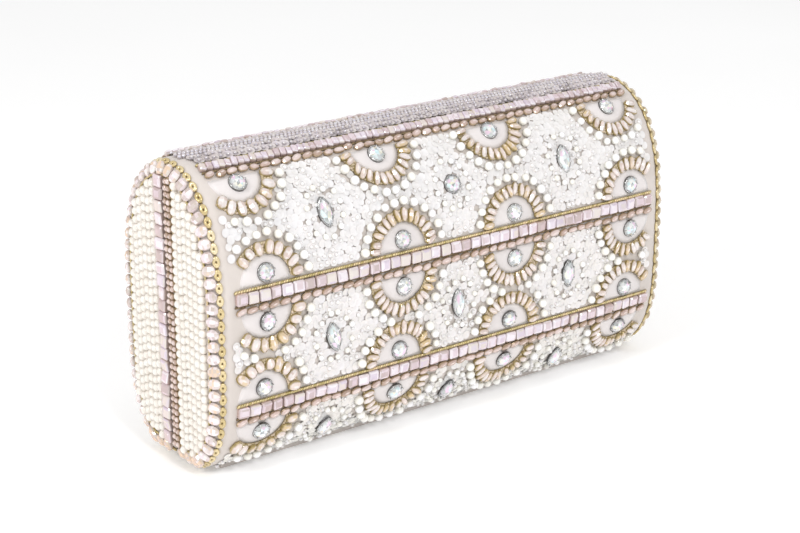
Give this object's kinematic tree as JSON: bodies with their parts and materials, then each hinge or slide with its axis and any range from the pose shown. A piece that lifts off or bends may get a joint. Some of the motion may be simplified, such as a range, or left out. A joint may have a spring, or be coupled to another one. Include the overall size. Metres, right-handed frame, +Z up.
{
  "type": "beaded box clutch evening bag",
  "caption": "Hard-shell evening clutch with pearl and bead embroidery, two mirrored trays that open on a bottom hinge and close with magnets.",
  "frame": {"origin": "centre of the base, on the table under the opening plane", "axes": "+X along the bag to its right end, -Y to the front face, +Z up; the opening plane is y = 0"},
  "size_m": [0.2048, 0.0638, 0.1098],
  "materials": {
    "board": "moulded board, unfinished, hidden between cover and lining",
    "satin": "ivory-pink satin weave with a soft sheen",
    "cloth": "off-white woven cloth, matt",
    "brass": "brushed and lacquered",
    "steel": "nickel-plated, fine brushing",
    "beadwork": "imitation pearls, clear sequins, rose-gold tube beads and glass stones sewn on cloth",
    "line_beads": "square rose glass beads with an iridescent coat, edged with gold cord",
    "sequins": "clear iridescent flat sequins",
    "pearls": "cream imitation pearls with a pearly coat",
    "border_beads": "rose tube beads set crosswise beside a gold cord"
  },
  "bodies": {
    "back_half": {"back_case": "board", "back_lining": "satin", "back_cover": "cloth", "back_base": "cloth", "back_rim": "brass", "back_hinge_leaf": "brass", "back_top_sequins": "sequins", "back_line_1": "line_beads", "back_field_1": "beadwork", "back_line_2": "line_beads", "back_field_2": "beadwork", "back_line_3": "line_beads", "back_field_3": "beadwork", "back_left_panel": "pearls", "back_left_border": "border_beads", "back_left_seam_trim": "line_beads", "back_left_magnet": "steel", "back_right_panel": "pearls", "back_right_border": "border_beads", "back_right_seam_trim": "line_beads", "back_right_magnet": "steel", "hinge_pin": "steel"},
    "front_half": {"front_case": "board", "front_lining": "satin", "front_cover": "cloth", "front_base": "cloth", "front_rim": "brass", "front_hinge_leaf": "brass", "front_top_sequins": "sequins", "front_line_1": "line_beads", "front_field_1": "beadwork", "front_line_2": "line_beads", "front_field_2": "beadwork", "front_line_3": "line_beads", "front_field_3": "beadwork", "front_left_panel": "pearls", "front_left_border": "border_beads", "front_left_seam_trim": "line_beads", "front_left_magnet": "steel", "front_right_panel": "pearls", "front_right_border": "border_beads", "front_right_seam_trim": "line_beads", "front_right_magnet": "steel"}
  },
  "joints": [
    {"name": "front_half_hinge", "type": "hinge", "parent": "back_half", "child": "front_half", "pos_m": [0, 0, 0.0028], "axis": [1, 0, 0], "range_deg": [0, 75]}
  ]
}
